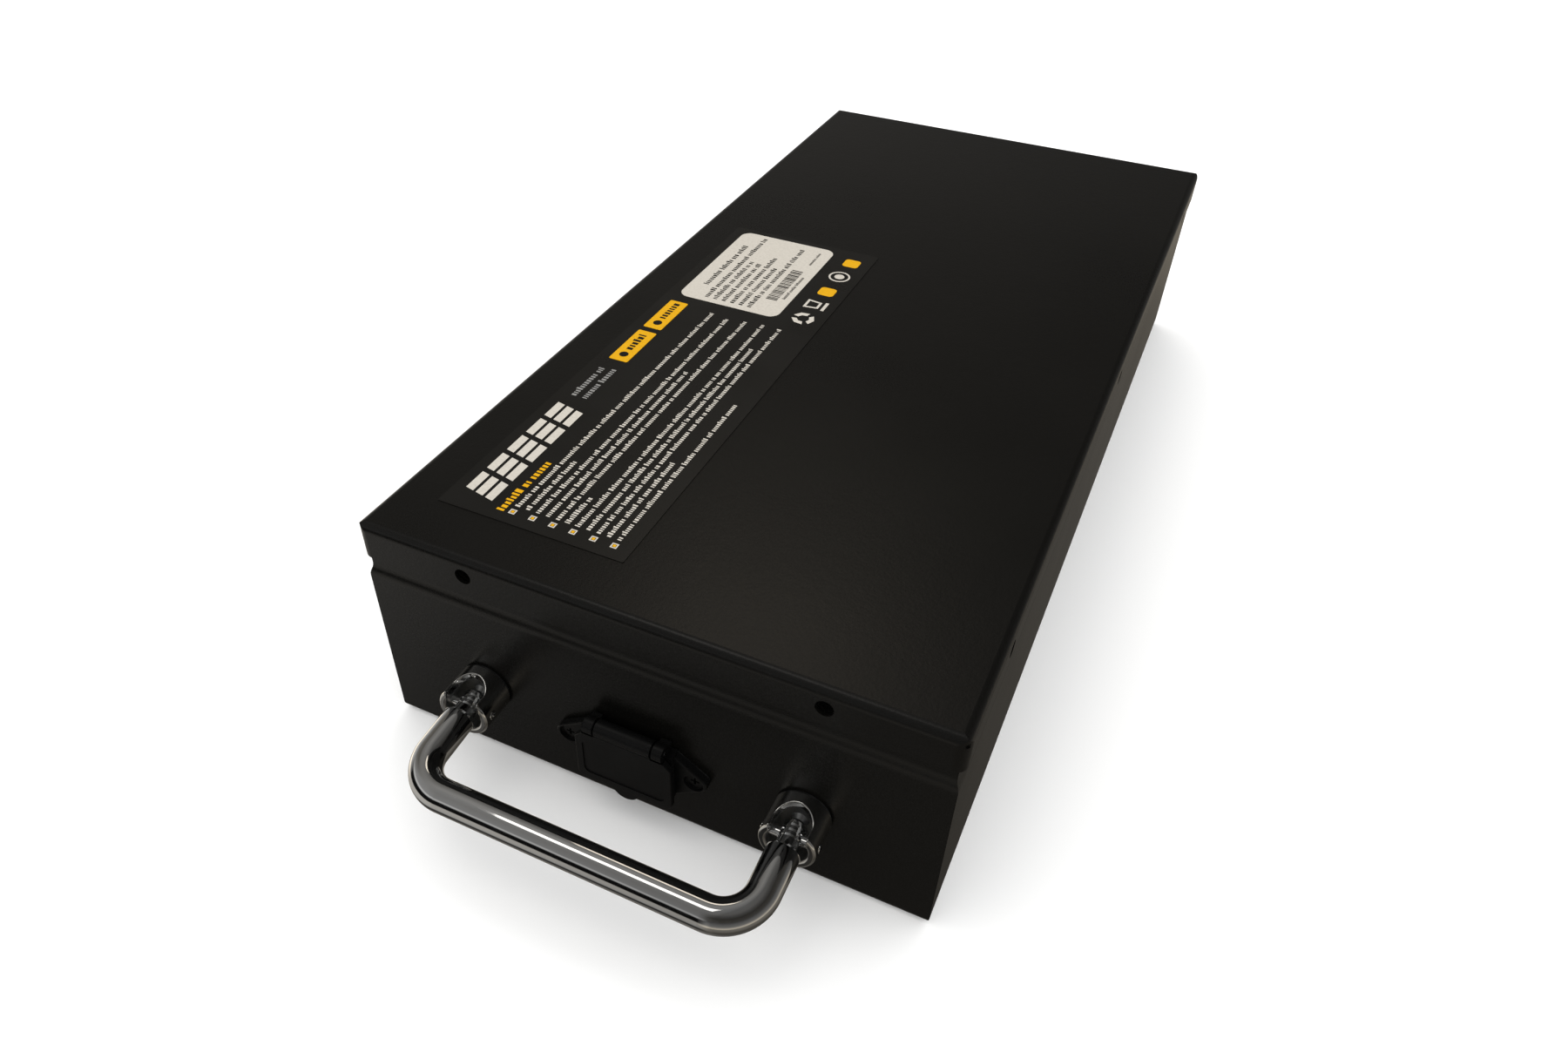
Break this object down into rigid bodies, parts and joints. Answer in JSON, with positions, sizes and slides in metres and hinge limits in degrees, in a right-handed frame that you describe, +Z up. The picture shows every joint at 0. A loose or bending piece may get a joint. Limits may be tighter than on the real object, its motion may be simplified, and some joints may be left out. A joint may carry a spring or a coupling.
{
  "type": "battery box",
  "caption": "Long flat black steel battery box with a lift-off flanged cover, a folding chrome carry handle and a power inlet under a sprung flap.",
  "frame": {"origin": "centre of the tray's flat underside", "axes": "+Z up; +Y along the box from the handle end to the back end; +X to the right seen from the handle end"},
  "size_m": [0.176, 0.4061, 0.0773],
  "materials": {
    "black_powder_coat": "fine-texture satin black powder coat on 1.2 mm steel",
    "chrome_plate": "bright chrome plate",
    "zinc_plate": "clear zinc plated steel",
    "black_plastic": "moulded black nylon, fine spark texture",
    "black_rubber": "black rubber",
    "tinned_brass": "plated brass contact blades",
    "black_screw": "black oxide steel screws",
    "holder_plastic": "black flame-retardant moulding",
    "cell_wrap": "shrink wrap on the cells",
    "nickel": "pure nickel strip",
    "grey_foam": "closed-cell foam",
    "black_foam": "closed-cell sealing foam",
    "barrier_paper": "green insulating barley paper",
    "barrier_board": "glass epoxy sheet",
    "green_board": "solder mask over glass epoxy",
    "nylon": "natural nylon",
    "black_epoxy": "moulded epoxy",
    "black_aluminium": "black anodised aluminium",
    "white_plastic": "white nylon connector",
    "ceramic_white": "unglazed ceramic with plated tabs",
    "red_lead": "red silicone insulation",
    "black_lead": "black silicone insulation",
    "label_film": "satin black polyester label film",
    "print_white": "white printed sticker",
    "print_yellow": "yellow printed sticker",
    "print_grey": "grey label ink"
  },
  "bodies": {
    "case": {"tray": "black_powder_coat", "clinch_nuts": "black_screw", "handle_post_left": "chrome_plate", "handle_post_right": "chrome_plate", "handle_pivot_pins": "chrome_plate", "handle_post_feet": "black_rubber", "handle_post_washers": "zinc_plate", "handle_post_screws": "zinc_plate", "inlet_frame": "black_plastic", "inlet_gasket": "black_rubber", "inlet_contacts": "tinned_brass", "inlet_hinge_pin": "zinc_plate", "inlet_screws": "black_screw", "inlet_nuts": "zinc_plate", "cell_row_01": "cell_wrap", "cell_row_02": "cell_wrap", "cell_row_03": "cell_wrap", "cell_row_04": "cell_wrap", "cell_row_05": "cell_wrap", "cell_row_06": "cell_wrap", "cell_row_07": "cell_wrap", "cell_row_08": "cell_wrap", "cell_row_09": "cell_wrap", "cell_row_10": "cell_wrap", "cell_row_11": "cell_wrap", "cell_row_12": "cell_wrap", "cell_row_13": "cell_wrap", "cell_row_14": "cell_wrap", "cell_row_15": "cell_wrap", "cell_row_16": "cell_wrap", "cell_holder_lower": "holder_plastic", "cell_holder_upper": "holder_plastic", "cell_strips_bottom": "nickel", "cell_strips_top": "nickel", "pack_bottom_pad": "grey_foam", "pack_top_sheet": "barrier_paper", "pack_top_pads": "grey_foam", "pack_side_pads": "grey_foam", "board": "green_board", "board_barrier": "barrier_board", "board_spacers": "nylon", "board_transistors": "black_epoxy", "board_heat_plate": "black_aluminium", "balance_connector": "white_plastic", "main_fuse": "ceramic_white", "positive_lead": "red_lead", "negative_lead": "black_lead", "inlet_leads": "black_lead", "balance_harness": "black_lead"},
    "lid": {"lid": "black_powder_coat", "lid_gasket": "black_foam", "label_film": "label_film", "data_plate": "print_white", "capacity_tags": "print_yellow"},
    "handle": {"handle_bar": "chrome_plate"},
    "inlet_flap": {"inlet_flap": "black_plastic", "inlet_flap_seal": "black_rubber", "inlet_flap_spring": "zinc_plate"}
  },
  "joints": [
    {"name": "handle_fold", "type": "hinge", "parent": "case", "child": "handle", "pos_m": [-0.0009, -0.1909, 0.028], "axis": [-1, 0, 0], "range_deg": [0, 94]},
    {"name": "flap_hinge", "type": "hinge", "parent": "case", "child": "inlet_flap", "pos_m": [-0.002, -0.1865, 0.0349], "axis": [-1, 0, 0], "range_deg": [0, 120], "stiffness_Nm_per_rad": 0.002, "springref_deg": -28.65},
    {"name": "lid_lift", "type": "slide", "parent": "case", "child": "lid", "axis": [0, 0, 1], "range_m": [0, 0.09]}
  ]
}
